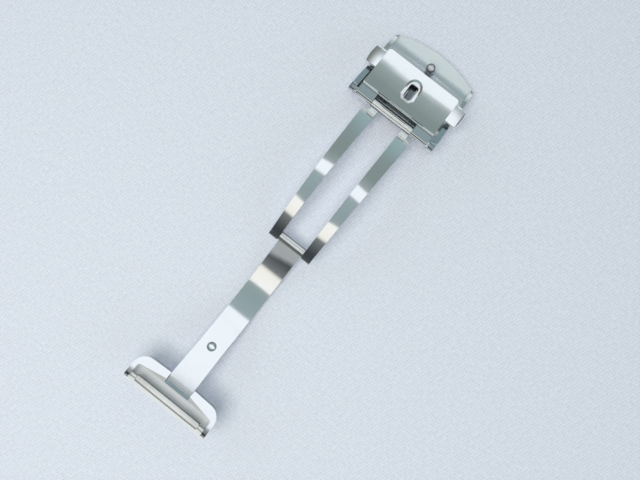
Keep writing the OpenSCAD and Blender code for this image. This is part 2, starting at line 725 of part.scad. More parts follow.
module strap_end() color("whitesmoke") at_tee() difference() {
    intersection() {
        tee_outer();
        translate([0, 0, tee_low_z + tee_face_r]) rotate([90, 0, 0])
            cylinder(r = tee_face_r, h = 2 * through, center = true, $fn = long_fn);
        union() {
            translate([-through, tee_end_y - tee_lip, tee_low_z - 1])
                cube([2 * through, through, 1 - tee_low_z - tee_depth]);
            across([[1, 1], [-bar_y, 1], [-bar_y, -bar_z], [tee_end_y, -bar_z], [tee_end_y, tee_low_z],
                [1, tee_low_z]], -through, through);
            translate([0, -bar_y, -bar_z]) rod(bar_z, -through, through);
        }
    }
    tee_inner(tee_rim, tee_rim + tee_rim_extra, -tee_ledge_h);
    tee_inner(tee_floor_y, tee_floor_y, -tee_depth);
    foot_slot();
    for (side = [left, right]) translate([side * tee_in_x, -bar_y, -bar_z])
        rod(bar_pivot_r + bar_gap, -tee_arm_t + bar_hole_end, tee_arm_t - bar_hole_end);
}

// Spring bar
module at_bar() at_tee() translate([0, -bar_y, -bar_z]) children();

module spring_bar_barrel() color("silver") at_bar() difference() {
    rod(bar_r, -barrel_l / 2, barrel_l / 2);
    rod(barrel_in_r, crimp_l - barrel_l / 2, barrel_l / 2 - crimp_l);
    rod(bar_shank_r + bar_gap, -barrel_l, barrel_l);
}

module bar_tip(side) at_bar() mirror([side < 0 ? 1 : 0, 0, 0]) {
    arm_x = tee_in_x - bar_gap;
    rod(plunger_r, barrel_l / 2 - crimp_l - bar_gap - plunger_l, barrel_l / 2 - crimp_l - bar_gap);
    rod(bar_shank_r, barrel_l / 2 - crimp_l - bar_gap - plunger_l / 2, arm_x);
    rod(bar_flange_r, arm_x - bar_flange_t, arm_x);
    rod(bar_pivot_r, arm_x - bar_flange_t, arm_x + bar_pivot_l);
}

module left_bar_tip() color("gainsboro") bar_tip(left);
module right_bar_tip() color("gainsboro") bar_tip(right);

// Spring hidden in the barrel, drawn as its plain sleeve
module spring_bar_spring() color("dimgray") at_bar() {
    half = barrel_l / 2 - crimp_l - bar_gap - plunger_l;
    outer_r = plunger_r - bar_gap;
    difference() {
        rod(outer_r, -half, half);
        rod(outer_r - bar_spring_wire, -half - 1, half + 1);
    }
}

latch_housing();
housing_base();
guide_pins();
main_hinge_pin();
cover_shell();
strap_peg();
left_button();
left_latch_plate();
left_button_spring();
right_button();
right_latch_plate();
right_button_spring();
fork_blade();
blade_hinge_pin();
fold_blade();
catch_stud();
strap_end();
spring_bar_barrel();
spring_bar_spring();
left_bar_tip();
right_bar_tip();
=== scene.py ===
# %% [markdown]
# A folding clasp for a watch strap, opened flat
#
# The clasp is all steel: a curved cover over a push-button latch, a forked middle blade, a narrow blade with a
# round stud, and a T-shaped strap end with a spring bar. Its exact shapes come from a packed model, which is
# loaded first as a fixed frame. Everything here is in metres, so a millimetre gets a name of its own. The box
# round the imported model is printed, and its floor sets the height of the cloth.

import json
import math

import bmesh
import bpy
from mathutils import Matrix, Vector


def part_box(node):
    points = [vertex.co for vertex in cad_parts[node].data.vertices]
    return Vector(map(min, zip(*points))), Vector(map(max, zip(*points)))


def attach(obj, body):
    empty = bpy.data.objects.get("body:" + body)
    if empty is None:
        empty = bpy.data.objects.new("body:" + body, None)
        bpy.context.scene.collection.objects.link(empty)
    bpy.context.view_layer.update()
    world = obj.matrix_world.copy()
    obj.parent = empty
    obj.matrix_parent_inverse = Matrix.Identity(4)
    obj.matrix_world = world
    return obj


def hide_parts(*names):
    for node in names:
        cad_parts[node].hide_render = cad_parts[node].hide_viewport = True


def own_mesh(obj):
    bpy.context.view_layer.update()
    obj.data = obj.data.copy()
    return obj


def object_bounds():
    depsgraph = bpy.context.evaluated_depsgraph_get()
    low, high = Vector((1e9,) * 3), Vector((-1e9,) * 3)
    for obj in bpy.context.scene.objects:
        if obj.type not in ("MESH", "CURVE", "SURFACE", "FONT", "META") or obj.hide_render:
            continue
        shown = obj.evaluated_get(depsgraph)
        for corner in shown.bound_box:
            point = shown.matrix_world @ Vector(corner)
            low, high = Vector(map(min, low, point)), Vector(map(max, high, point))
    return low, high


MM = 0.001
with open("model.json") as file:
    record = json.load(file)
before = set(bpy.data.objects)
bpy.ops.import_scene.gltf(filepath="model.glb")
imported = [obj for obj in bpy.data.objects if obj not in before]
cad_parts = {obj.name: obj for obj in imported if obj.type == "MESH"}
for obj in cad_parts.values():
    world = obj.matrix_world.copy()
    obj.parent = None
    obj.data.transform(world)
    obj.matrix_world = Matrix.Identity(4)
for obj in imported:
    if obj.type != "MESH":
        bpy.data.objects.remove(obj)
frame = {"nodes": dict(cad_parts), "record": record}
cad_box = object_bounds()
print("box in mm:", [[round(v / MM, 2) for v in corner] for corner in cad_box])

# %% [markdown]
# The camera
#
# The photograph looks straight down on the clasp from about 10 cm, turned so that the clasp lies across the
# picture. A camera could be placed by eye, but its place, turn and lens were worked out from thirty points that
# can be read on the object. A camera looks along its own minus Z, so its three axes are set as the columns of a
# matrix.

# %% Place the camera
CAMERA_AT = (6.748, 3.211, 105.985)
CAMERA_TURN = 0.6678
CAMERA_LEAN = (-0.037, -0.0009)
CAMERA_LENS = 28.84


def looking_down(turn, lean_right, lean_up):
    """The camera's right, up and back directions."""
    right = Vector((math.cos(turn), math.sin(turn), 0))
    up = Vector((-math.sin(turn), math.cos(turn), 0))
    ahead = (Vector((0, 0, -1)) + lean_right * right + lean_up * up).normalized()
    right = (right - ahead * right.dot(ahead)).normalized()
    return right, right.cross(ahead), -ahead


camera = bpy.data.objects.new("camera", bpy.data.cameras.new("camera"))
bpy.context.scene.collection.objects.link(camera)
axes = Matrix(looking_down(CAMERA_TURN, *CAMERA_LEAN)).transposed()
camera.matrix_world = Matrix.Translation(Vector(CAMERA_AT) * MM) @ axes.to_4x4()
camera.data.lens = CAMERA_LENS
camera.data.clip_start = 2 * MM
bpy.context.scene.camera = camera
print("camera height above the table in mm:", round(camera.location.z / MM, 1))

# %% [markdown]
# A helper for shader sums
#
# A finish is a small sum: a base value, plus some grain, minus some wear. Math nodes could be placed one
# by one, but a page of them hides the sum. This class wraps the output socket of a node and turns
# Python's own signs into Math nodes, also when the number stands first, so that 1 - mask works. Two more
# methods make what every recipe here needs, a soft step and a mix of two colours. Any other node comes
# from the method called node.

# %% Wrap a socket
class Wire:
    """The output socket of a node. Sums and products of wires become Math nodes."""

    def __init__(self, socket):
        self.socket = socket

    @staticmethod
    def node(tree, kind, settings=None, sockets=None, out=0):
        """Adds a node, sets it up first, then fills its sockets, and gives back one output."""
        made = tree.nodes.new(kind)
        for name, value in (settings or {}).items():
            if name == "stops":
                ramp = made.color_ramp.elements
                while len(ramp) < len(value):
                    ramp.new(0.5)
                for stop, (place, colour) in zip(ramp, value):
                    stop.position = place
                    stop.color = (*colour, 1)
            else:
                setattr(made, name, value)
        for name, value in (sockets or {}).items():
            if isinstance(value, Wire):
                tree.links.new(value.socket, made.inputs[name])
            else:
                made.inputs[name].default_value = value
        return Wire(made.outputs[out])

    def math(self, step, first, second):
        """A Math node for two wires or numbers."""
        return Wire.node(self.socket.id_data, "ShaderNodeMath", {"operation": step}, {0: first, 1: second})

    def soft_step(self, low, high, first=0.0, last=1.0):
        """Goes softly from first to last, while this wire goes from low to high."""
        return Wire.node(self.socket.id_data, "ShaderNodeMapRange", {"interpolation_type": "SMOOTHSTEP"}, {
            "Value": self, "From Min": low, "From Max": high, "To Min": first, "To Max": last})

    def mix(self, first, last):
        """Mixes two colours. This wire is the share of the last."""
        return Wire.node(self.socket.id_data, "ShaderNodeMix", {"data_type": "RGBA"}, {
            0: self, 6: first, 7: last}, out=2)

    def __add__(self, other):
        return self.math("ADD", self, other)

    def __sub__(self, other):
        return self.math("SUBTRACT", self, other)

    def __rsub__(self, other):
        return self.math("SUBTRACT", other, self)

    def __mul__(self, other):
        return self.math("MULTIPLY", self, other)

    def __truediv__(self, other):
        return self.math("DIVIDE", self, other)

    __radd__ = __add__


print("signs that a wire understands: + - * /")

# %% [markdown]
# The light
#
# Polished steel has hardly any colour of its own. What is seen in it is the room: white panels, the grey
# gap between them, and a dark stretch beyond. Lamps could make the bright bands, but a soft studio with
# large panels is plainer as a sky whose brightness changes with the angle along the clasp: 0 degrees is
# straight up, and a positive angle leans towards the cover. The two white panels and the gap between
# them were read back from the bands on the two blades. The picture is shown with the standard view,
# because white panels then stay white and the grey stays as measured.

# %% Light the studio
SKY = [
    (-180, (0.42, 0.47, 0.54)),
    (-100, (0.74, 0.79, 0.86)),
    (-64, (0.72, 0.75, 0.77)),
    (-55, (0.24, 0.27, 0.27)),
    (-47, (0.065, 0.075, 0.08)),
    (-41, (0.045, 0.055, 0.065)),
    (-36, (0.095, 0.105, 0.11)),
    (-30, (0.17, 0.19, 0.195)),
    (-27.6, (0.18, 0.20, 0.205)),
    (-26.4, (1.00, 0.98, 0.92)),
    (-13.6, (1.05, 1.05, 1.03)),
    (-12.6, (0.33, 0.40, 0.41)),
    (-5, (0.30, 0.39, 0.41)),
    (7, (0.34, 0.43, 0.455)),
    (8.7, (0.36, 0.44, 0.47)),
    (9.7, (0.99, 1.05, 1.115)),
    (18.5, (0.99, 1.05, 1.115)),
    (19.6, (0.36, 0.42, 0.43)),
    (28, (0.25, 0.31, 0.31)),
    (40.6, (0.25, 0.31, 0.31)),
    (41.5, (0.28, 0.395, 0.41)),
    (42.3, (0.305, 0.435, 0.455)),
    (44, (0.36, 0.48, 0.505)),
    (62, (0.72, 0.76, 0.79)),
    (100, (0.74, 0.79, 0.86)),
    (180, (0.42, 0.47, 0.54)),
]

bpy.context.scene.view_settings.view_transform = "Standard"
world = bpy.data.worlds.new("studio")
bpy.context.scene.world = world
world.use_nodes = True
room = world.node_tree
direction = Wire.node(room, "ShaderNodeTexCoord")
split = {"Vector": direction}
along = Wire.node(room, "ShaderNodeSeparateXYZ", None, split, out="Y")
upward = Wire.node(room, "ShaderNodeSeparateXYZ", None, split, out="Z")
angle = along.math("ARCTAN2", along, upward) / (2 * math.pi) + 0.5
stops = [(degrees / 360 + 0.5, colour) for degrees, colour in SKY]
panels = Wire.node(room, "ShaderNodeValToRGB", {"stops": stops}, {"Fac": angle})
print("sky stops:", len(SKY))

# %% [markdown]
# The panels are only so wide. Seen from the clasp, they end some nineteen degrees to either side, then
# comes the dimmer room, and low down the pale walls. That is what puts dark flanks on the ball of the peg
# and thin bright lines on the edges that face sideways. The dim room stops above the horizon, so a view
# from the side keeps a pale background. A lean is the share of a direction that points sideways or
# upward, so 0 is no lean that way and 1 is all of it.

# %% End the panels at the sides
PANELS_END = (0.24, 0.40)
WALLS_BEGIN = (0.62, 0.80)
HORIZON_ENDS = (0.08, 0.26)
DIM_ROOM = (0.20, 0.215, 0.20, 1)
PALE_WALLS = (0.86, 0.94, 1.08, 1)
sideways = Wire.node(room, "ShaderNodeSeparateXYZ", None, split, out="X")
sideways = sideways.math("ABSOLUTE", sideways, 0)
beside_panels = sideways.soft_step(*PANELS_END) * upward.soft_step(*HORIZON_ENDS)
sky = beside_panels.mix(panels, DIM_ROOM)
sky = sideways.soft_step(*WALLS_BEGIN).mix(sky, PALE_WALLS)
room.links.new(sky.socket, room.nodes["Background"].inputs["Color"])
panel_edge = math.degrees(math.asin(sum(PANELS_END) / 2))
print("the panels end at about", round(panel_edge), "degrees to either side")

# %% [markdown]
# A sky alone leaves the cloth too dark, because the grey gap and the dark stretch take their share. One
# large soft lamp above the strap end lifts the cloth and throws the faint shadow that lies on the cover's
# side of each raised piece. It is left out of reflections, so the bands on the steel stay as they are.

# %% Hang the soft lamp
LAMP_AT = (-30, -90, 300)
LAMP_WIDTH = 260
LAMP_WATTS = 0.48
bpy.ops.object.light_add(type="AREA", location=Vector(LAMP_AT) * MM)
lamp = bpy.context.object
lamp.name = "soft_lamp"
lamp.data.shape = "DISK"
lamp.data.size = LAMP_WIDTH * MM
lamp.data.energy = LAMP_WATTS
lamp.data.color = (1.0, 0.97, 0.93)
lamp.rotation_euler = (-lamp.location).to_track_quat("-Z", "Y").to_euler()
lamp.visible_glossy = False
print("lamp power in watts:", round(lamp.data.energy, 2))

# %% [markdown]
# The table
#
# The clasp lies on pale grey-blue cloth. A plane is enough, with the cloth's fine diagonal weave as a bump: two
# sets of threads that cross, each a row of sine waves, and a little unevenness so that no row is perfect.
# Threads that lie high are painted paler, a painted highlight on their tops, and the unevenness adds the
# cloth's own uneven tone.

# %% Lay the cloth
CLOTH_WIDTH = 900
THREAD_WIDTH = 0.62
WEAVE_HEIGHT = 0.06
CLOTH_LOW, CLOTH_HIGH = (0.70, 0.745, 0.845, 1), (0.92, 0.955, 1.0, 1)
bpy.ops.object.select_all(action="DESELECT")
bpy.ops.mesh.primitive_plane_add(size=CLOTH_WIDTH * MM, location=(0, 0, cad_box[0].z))
cloth = bpy.context.object
cloth.name = "cloth"
linen = bpy.data.materials.new("pale_cloth")
linen.use_nodes = True
threads = linen.node_tree
where = Wire.node(threads, "ShaderNodeTexCoord", out="Object")
uneven = Wire.node(threads, "ShaderNodeTexNoise", None, {"Vector": where, "Scale": 1400.0, "Detail": 2.0})
uneven = (uneven - 0.5) * 1.8 + 0.5


def thread_rows(turn):
    """A row of threads at an angle, as a wave from 0 to 1."""
    turned_place = Wire.node(threads, "ShaderNodeMapping", None, {
        "Vector": where, "Rotation": (0, 0, math.radians(turn)), "Scale": (1 / MM, 1 / MM, 1 / MM)})
    row = Wire.node(threads, "ShaderNodeSeparateXYZ", None, {"Vector": turned_place}, out="X")
    return row.math("SINE", row * (2 * math.pi / THREAD_WIDTH) + uneven * 4, 0) * 0.5 + 0.5


weave = thread_rows(20) * 0.6 + thread_rows(-70) * 0.4
# The colour follows the weave: raised threads get a painted highlight, and the noise adds uneven tone.
shade = (weave * 0.5 + uneven * 0.5).mix(CLOTH_LOW, CLOTH_HIGH)
bump = Wire.node(threads, "ShaderNodeBump", None, {
    "Height": weave, "Distance": WEAVE_HEIGHT * MM, "Strength": 0.5})
skin = threads.nodes["Principled BSDF"]
threads.links.new(shade.socket, skin.inputs["Base Color"])
threads.links.new(bump.socket, skin.inputs["Normal"])
skin.inputs["Roughness"].default_value = 0.9
skin.inputs["Specular IOR Level"].default_value = 0.15
cloth.data.materials.append(linen)
print("cloth at height in mm:", round(cad_box[0].z / MM, 3))

# %% [markdown]
# The steel
#
# One recipe makes each of the clasp's steels: a tint, a roughness with soft mottling from handling, the fine
# lines of the brush, which run along the strap, and a few hairline scratches. All sizes are in millimetres on
# the object, so the lines are as fine as on the real one. The recipe could be one texture picture, but sums of
# noise have no edge and no seam. The grain is the brush, the clouds are handling, the wave is what polishing
# leaves uneven, and the hairs are scratches: thin noise that shows only where a wider noise lets it. A band may
# get a painted sheen, which makes it less of a mirror and paints it pale, or painted shade, which paints it
# dark, and the limb of a round piece may be painted darker, as a painted reflection of the low room.

# %% Mix a steel
PAINTED_SHEEN, PAINTED_SHADE, LOW_ROOM = (0.93, 1.0, 1.0, 1), (0.10, 0.10, 0.10, 1), (0.05, 0.055, 0.06, 1)
FINISHES = {}


def steel(name, tint, roughness, brushing, mottle, lines=(24, 0.5, 24), metal=1.0,
          sheen_bands=(), shade_bands=(), limb=None):
    """Mixes one finish. The noise scales are in waves a millimetre, and bands and bumps in millimetres."""
    made = bpy.data.materials.new(name)
    made.use_nodes = True
    tree = made.node_tree
    place = Wire.node(tree, "ShaderNodeTexCoord", out="Object")

    def noise(scale, detail, turn=0.0):
        spread = Wire.node(tree, "ShaderNodeMapping", {"vector_type": "TEXTURE"}, {
            "Vector": place, "Rotation": (0, 0, turn), "Scale": tuple(MM / s for s in scale)})
        return Wire.node(tree, "ShaderNodeTexNoise", None, {
            "Vector": spread, "Scale": 1.0, "Detail": detail})

    def band(axis, middle, half_width, soft, most):
        off = Wire.node(tree, "ShaderNodeVectorMath", {"operation": "DOT_PRODUCT"}, {
            0: place, 1: axis}, out="Value")
        off = off.math("ABSOLUTE", off - middle * MM, 0) + (cloud - 0.5) * (soft * 0.5 * MM)
        return off.soft_step((half_width - soft) * MM, (half_width + soft) * MM, most, 0.0)

    grain = noise(lines, 4.0)
    cloud = noise((0.45, 0.3, 0.45), 3.0)
    wave = noise((0.16, 0.10, 0.16), 0.0)
    hairs = noise((14, 0.22, 14), 1.0, 0.5) * noise((1.1, 0.5, 1.1), 1.0, 0.5)
    scratch = hairs.soft_step(0.37, 0.46)
    rough = roughness + (grain - 0.5) * brushing + (cloud - 0.5) * mottle + scratch * 0.06
    dark, light = [tuple(min(1, c * k) for c in tint) + (1,) for k in (0.955, 1.035)]
    colour = (cloud * 0.6 + grain * 0.4).mix(dark, light)
    slow = Wire.node(tree, "ShaderNodeBump", None, {"Height": wave, "Distance": 0.05 * MM, "Strength": 1.0})
    bump = Wire.node(tree, "ShaderNodeBump", None, {
        "Height": grain * brushing - scratch * 0.05, "Distance": 0.0016 * MM, "Strength": 0.5,
        "Normal": slow})
    skin = tree.nodes["Principled BSDF"]
    skin.inputs["Metallic"].default_value = metal
    # A sheen band makes the steel less of a mirror and paints it pale: a painted sheen.
    for patch in sheen_bands:
        sheen_share = band(*patch)
        metal = (1 - sheen_share) * metal
        colour = sheen_share.mix(colour, PAINTED_SHEEN)
        tree.links.new(metal.socket, skin.inputs["Metallic"])
    # A shade band paints the steel darker: painted shade.
    for patch in shade_bands:
        colour = band(*patch).mix(colour, PAINTED_SHADE)
    if limb:
        start, end, most = limb
        facing = Wire.node(tree, "ShaderNodeLayerWeight", None, {"Blend": 0.5}, out="Facing")
        colour = facing.soft_step(start, end, 0.0, most).mix(colour, LOW_ROOM)
    for socket, value in (("Roughness", rough), ("Base Color", colour), ("Normal", bump)):
        tree.links.new(value.socket, skin.inputs[socket])
    FINISHES[name] = made


print("a steel is mixed from four noises: grain, cloud, wave and hairs")

# %% [markdown]
# A finish is not even all over. The hinge end of each leg, the middle of the narrow blade's hinge end and the
# far part of the cover are duller, and their pale colour is a painted sheen. Painted shade darkens the floor
# under the bar and by the tray's wall, the blade just behind its hinge tube, the ends of the strap end's arms,
# and the cover next to the housing. Such a band is an axis, its middle along that axis, half its width, the
# softness of its edge, and how strong it is.
# The middles could be typed, but they are worked out from the pieces' places, so that a band stays put.
# The strap end leans by 16 degrees, so it has an up and an along of its own, and the painted sheen on the
# narrow blade lies a little aslant.

# %% Find the bands of painted sheen and painted shade
TEE_LEAN = math.radians(16)
lean_up = Vector((0, math.sin(TEE_LEAN), math.cos(TEE_LEAN)))
lean_along = Vector((0, math.cos(TEE_LEAN), -math.sin(TEE_LEAN)))
sheen_axis = Vector((-0.165, 0.986, 0))
strap_axis = Vector((0, 1, 0))


def middle_of(node):
    """The middle of a node's box, in millimetres."""
    return sum(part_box(node), Vector()) / 2 / MM


bar_along = middle_of("spring_bar_barrel").dot(lean_along)
hinge_y = middle_of("main_hinge_pin").y
blade_hinge_y = middle_of("blade_hinge_pin").y
cover_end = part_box("cover_shell")[1].y / MM
shade_under_bar = (lean_along, bar_along - 0.15, 0.60, 0.08, 0.35)
shade_by_the_wall = (lean_along, bar_along + 2.8, 0.55, 0.40, 0.42)
shade_behind_tube = (strap_axis, blade_hinge_y - 0.62, 0.24, 0.10, 0.80)
sheen_at_leg_top = (strap_axis, hinge_y, 2.0, 0.85, 0.80)
sheen_at_blade_top = (sheen_axis, blade_hinge_y - 2.0, 1.7, 0.8, 0.44)
shade_at_arm_ends = (lean_along, bar_along - 1.3, 2.25, 0.5, 0.64)
sheen_at_cover_tip = (strap_axis, cover_end, 2.8, 0.5, 0.66)
shade_by_the_housing = (strap_axis, cover_end - 4.2, 1.0, 0.5, 0.26)
print("along their axes, in mm: bar", round(bar_along, 2), "main hinge", round(hinge_y, 2))

# %% [markdown]
# The clasp has one metal but many finishes. The blades, the cover and the strap end are polished, the
# latch is satin, and a blasted, paler skin is for what the leather hides. One finish could do for all,
# but then every piece would mirror the room alike. Each row gives the tint, the roughness, the depth of
# the brushing and of the mottling, and then what is special. A round bar or ball mirrors what lies low
# around it towards its outline, so those finishes have a darker limb: where it starts, where it ends and
# how strong it is.

# %% Choose the finishes
POLISH = ((0.86, 0.87, 0.87), 0.07, 0.04, 0.03)
steel("polished_steel", *POLISH)
steel("leg_steel", *POLISH, sheen_bands=[sheen_at_leg_top])
steel("blade_steel", *POLISH, sheen_bands=[sheen_at_blade_top])
steel("arm_steel", *POLISH, shade_bands=[shade_at_arm_ends])
steel("satin_steel", (0.84, 0.86, 0.85), 0.085, 0.06, 0.04)
steel("ear_satin", (0.68, 0.71, 0.72), 0.11, 0.06, 0.04)
steel("shaded_side_satin", (0.42, 0.48, 0.52), 0.16, 0.06, 0.05)
steel("ring_highlight_steel", (0.98, 0.99, 1.0), 0.25, 0.05, 0.04, metal=0.3)
steel("tray_satin", (0.97, 1.0, 1.0), 0.30, 0.10, 0.06, metal=0.10, shade_bands=[shade_under_bar, shade_by_the_wall])
steel("lit_foot_satin", (0.90, 0.95, 0.99), 0.25, 0.08, 0.06, metal=0.55)
steel("shaded_foot_satin", (0.46, 0.53, 0.55), 0.12, 0.06, 0.05)
steel("cover_satin", (0.82, 0.87, 0.89), 0.20, 0.06, 0.05, metal=0.95, sheen_bands=[sheen_at_cover_tip], shade_bands=[shade_by_the_housing])
steel("cut_edge_and_shade", (0.42, 0.45, 0.47), 0.34, 0.10, 0.10)
steel("notch_shade", (0.10, 0.115, 0.12), 0.45, 0.10, 0.10)
steel("rolled_tube", (1.0, 0.98, 0.95), 0.20, 0.06, 0.06, metal=0.8, shade_bands=[shade_behind_tube], limb=(0.18, 0.48, 0.8))
# The latch steels are dark: their tints paint the shade inside the housing, seen through the window.
steel("latch_steel", (0.38, 0.40, 0.42), 0.28, 0.10, 0.06)
steel("shaded_latch_floor", (0.24, 0.27, 0.29), 0.32, 0.08, 0.06)
steel("bar_steel", (1.0, 0.975, 0.93), 0.22, 0.05, 0.04, (0.4, 20, 20), metal=0.35, limb=(0.13, 0.33, 0.75))
steel("peg_steel", (0.90, 0.91, 0.93), 0.25, 0.03, 0.03, metal=0.5, limb=(0.02, 0.40, 0.85))
steel("spring_steel", (0.50, 0.50, 0.51), 0.24, 0.05, 0.06)
print("finishes:", ", ".join(FINISHES))

# %% [markdown]
# Pressed and milled plates
#
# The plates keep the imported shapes. What they lack is what tumbling and polishing do to real steel: no
# edge is sharp. A copy of each solid is joined up, because its triangles are loose, its flat stretches are
# cleared of needless edges, and a small bevel rounds each corner. Weighted normals then keep the
# faces straight, so that a reflected band runs square across a blade.

# %% Round a plate
CORNER = 26
node_body = {n: body for body, nodes in frame["record"]["behaviour"]["bodies"].items() for n in nodes}


def stand_in(piece, node):
    """The piece moves with the node's body and is shown in the node's place, while the node is hidden."""
    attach(piece, node_body[node])
    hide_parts(node)
    print(piece.name, "faces:", len(piece.data.polygons))


def rounded(node, finish, width, slope=CORNER, shape=None):
    """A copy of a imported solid, shaped where asked, with each corner steeper than the slope rounded."""
    bpy.ops.object.select_all(action="DESELECT")
    source = frame["nodes"][node]
    piece = bpy.data.objects.new(node + "_finished", source.data.copy())
    bpy.context.scene.collection.objects.link(piece)
    bpy.context.view_layer.objects.active = piece
    piece.select_set(True)
    bpy.ops.mesh.customdata_custom_splitnormals_clear()
    bpy.ops.object.mode_set(mode="EDIT")
    bpy.ops.mesh.select_all(action="SELECT")
    bpy.ops.mesh.remove_doubles(threshold=0.002 * MM)
    bpy.ops.mesh.dissolve_limited(angle_limit=math.radians(0.15))
    if shape:
        shape(piece)
    bpy.ops.object.mode_set(mode="OBJECT")
    edge = piece.modifiers.new("edge", "BEVEL")
    edge.width = width * MM
    edge.segments = 3
    edge.limit_method = "ANGLE"
    edge.angle_limit = math.radians(slope)
    bpy.ops.object.modifier_apply(modifier="edge")
    bpy.ops.object.shade_smooth()
    even = piece.modifiers.new("even", "WEIGHTED_NORMAL")
    even.weight = 50
    even.keep_sharp = True
    bpy.ops.object.modifier_apply(modifier="even")
    piece.data.materials.clear()
    piece.data.materials.append(FINISHES[finish])
    stand_in(piece, node)
    return piece


# %% [markdown]
# Two plates are shaped a little more, because a mirror shows what a drawing doesn't. On the housing, the
# edges round the window stay crisp and the ears beside the hinge fall away. The strap end's rim catches
# the light of a panel, so it is turned by about a degree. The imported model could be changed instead, but
# this is a tenth of a millimetre, which only the light can tell. Each step works in edit mode on the
# copy, picks corners by a test of their place, and moves them.

# %% Shape the housing and the rim
window_y = (hinge_y + 5.65) * MM
arms_end = bar_along + 1.8
WINDOW_REACH = 2.7
EAR_FALL = 0.13
RIM_TURN = 1.2


def pick(piece, chosen):
    """Selects, in edit mode, the corners that pass the test."""
    mesh = bmesh.from_edit_mesh(piece.data)
    for vertex in mesh.verts:
        vertex.select_set(bool(chosen(vertex.co)))
    mesh.select_flush_mode()
    bmesh.update_edit_mesh(piece.data)
    return sum(v.select for v in mesh.verts)


def crisp_window(piece):
    """Keeps the edges of the window's bevel and dish crisp, so that the roof round them stays smooth."""
    bpy.ops.mesh.select_mode(type="EDGE")
    bpy.ops.mesh.select_all(action="DESELECT")
    mesh = bmesh.from_edit_mesh(piece.data)
    for edge in mesh.edges:
        spot = (edge.verts[0].co + edge.verts[1].co) / 2
        by_window = max(abs(spot.x), abs(spot.y - window_y)) < WINDOW_REACH * MM
        if by_window and edge.calc_face_angle(0) > math.radians(12):
            edge.select_set(True)
    bmesh.update_edit_mesh(piece.data)
    bpy.ops.mesh.mark_sharp()
    bpy.ops.mesh.select_mode(type="VERT")


def shape_housing(piece):
    """The hinge ears fall away a little towards their round ends, as rolled sheet does."""
    crisp_window(piece)
    axis = middle_of("main_hinge_pin") * MM
    ear_y = axis.y + 0.3 * MM
    top = max(v.co.z for v in piece.data.vertices if v.co.y < ear_y)
    pick(piece, lambda c: c.y < ear_y and c.z > axis.z + 0.55 * (top - axis.z))
    bpy.ops.transform.translate(value=(0, 0, -EAR_FALL * MM))


def tip_rim(piece):
    """Cuts the ends of the arms off as faces of their own, then turns the rim a little on its floor."""
    bpy.ops.mesh.select_all(action="SELECT")
    bpy.ops.mesh.bisect(plane_co=lean_along * arms_end * MM, plane_no=lean_along)
    corners = [v.co.copy() for v in bmesh.from_edit_mesh(piece.data).verts]
    rim = max(c.dot(lean_up) for c in corners) - 0.02 * MM
    on_rim = [c for c in corners if c.dot(lean_up) > rim]
    middle = sum(on_rim, Vector()) / len(on_rim)
    pick(piece, lambda c: c.dot(lean_up) > rim)
    bpy.ops.transform.rotate(value=math.radians(RIM_TURN), orient_axis="X", center_override=middle)
    after = [v.co for v in bmesh.from_edit_mesh(piece.data).verts if v.select]
    highest = [round(max(c.z for c in some) / MM, 3) for some in (on_rim, after)]
    print("rim turned, its highest point in mm, before and after:", highest)


print("the window's middle lies at", round(window_y / MM, 2), "and the arms end at", round(arms_end, 2), "mm")

# %% [markdown]
# Each plate gets a round edge of its own size: widest on the cover and finest on the thin latch plates.
# One width could do for all, but a wide edge would swallow a thin plate. The housing rounds only its steep
# corners, so that the curved roof stays one smooth mirror. The rows give the node, the finish, the width
# of the edge in millimetres, and where needed the slope and the shaping step.

# %% Round the plates
PLATES = [
    ("latch_housing", "satin_steel", 0.08, 48, shape_housing),
    ("housing_base", "satin_steel", 0.08),
    ("cover_shell", "polished_steel", 0.12),
    ("fork_blade", "leg_steel", 0.09),
    ("fold_blade", "blade_steel", 0.08),
    ("strap_end", "polished_steel", 0.10, CORNER, tip_rim),
    ("left_latch_plate", "latch_steel", 0.05),
    ("right_latch_plate", "latch_steel", 0.05),
]
plates = {row[0]: rounded(*row) for row in PLATES}

# %% [markdown]
# One plate has more than one finish. The hollow side of the cover and the floor of the strap end are blasted,
# because the leather hides them. Where a blade was cut from its sheet the edge stays duller and darker than the
# polished face, and the same darker steel paints shade on the outer edges of the cover, the housing and the
# strap end. A rolled tube keeps the marks of the rolling, with a painted dark limb and painted shade where it
# meets the blade. They could be separate pieces, but on the real clasp they are the same steel, so only the
# faces get another finish.

# %% Refinish the cover and the housing
WALL_X = 8.6
ROOF_EDGE = 0.3
WINDOW_HALF_WIDTH, WINDOW_HALF_LENGTH = 1.6, 2.2


def refinish(piece, finish, chosen):
    """Gives the faces that pass the test another finish."""
    piece.data.materials.append(FINISHES[finish])
    slot = len(piece.data.materials) - 1
    count = 0
    for face in piece.data.polygons:
        if chosen(face):
            face.material_index = slot
            count += 1
    print(piece.name, finish, "faces:", count)


def over_wall(face):
    """A test for faces on a side wall of the cover or an arm of the strap end."""
    return abs(face.center.x) > WALL_X * MM


def on_window_bevel(face):
    """A test for the faces of the window's bevel, which look up and inwards."""
    outwards = face.center - Vector((0, window_y, face.center.z))
    near = abs(face.center.x) < WINDOW_HALF_WIDTH * MM and abs(outwards.y) < WINDOW_HALF_LENGTH * MM
    return near and 0.3 < face.normal.z < 0.93 and face.normal.dot(outwards) < 0


cover, housing = plates["cover_shell"], plates["latch_housing"]
hollow_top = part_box("cover_shell")[0].z + 2.6 * MM
ears_end, side_end = (hinge_y + 6.5) * MM, (hinge_y + 8) * MM
refinish(cover, "cover_satin", lambda f: f.normal.z > 0.93 and f.center.z < hollow_top)
# The tops of the cover's side walls by the hinge get a darker steel: painted shade.
refinish(cover, "shaded_side_satin", lambda f: f.normal.z > 0.6 and over_wall(f) and f.center.y < ears_end)
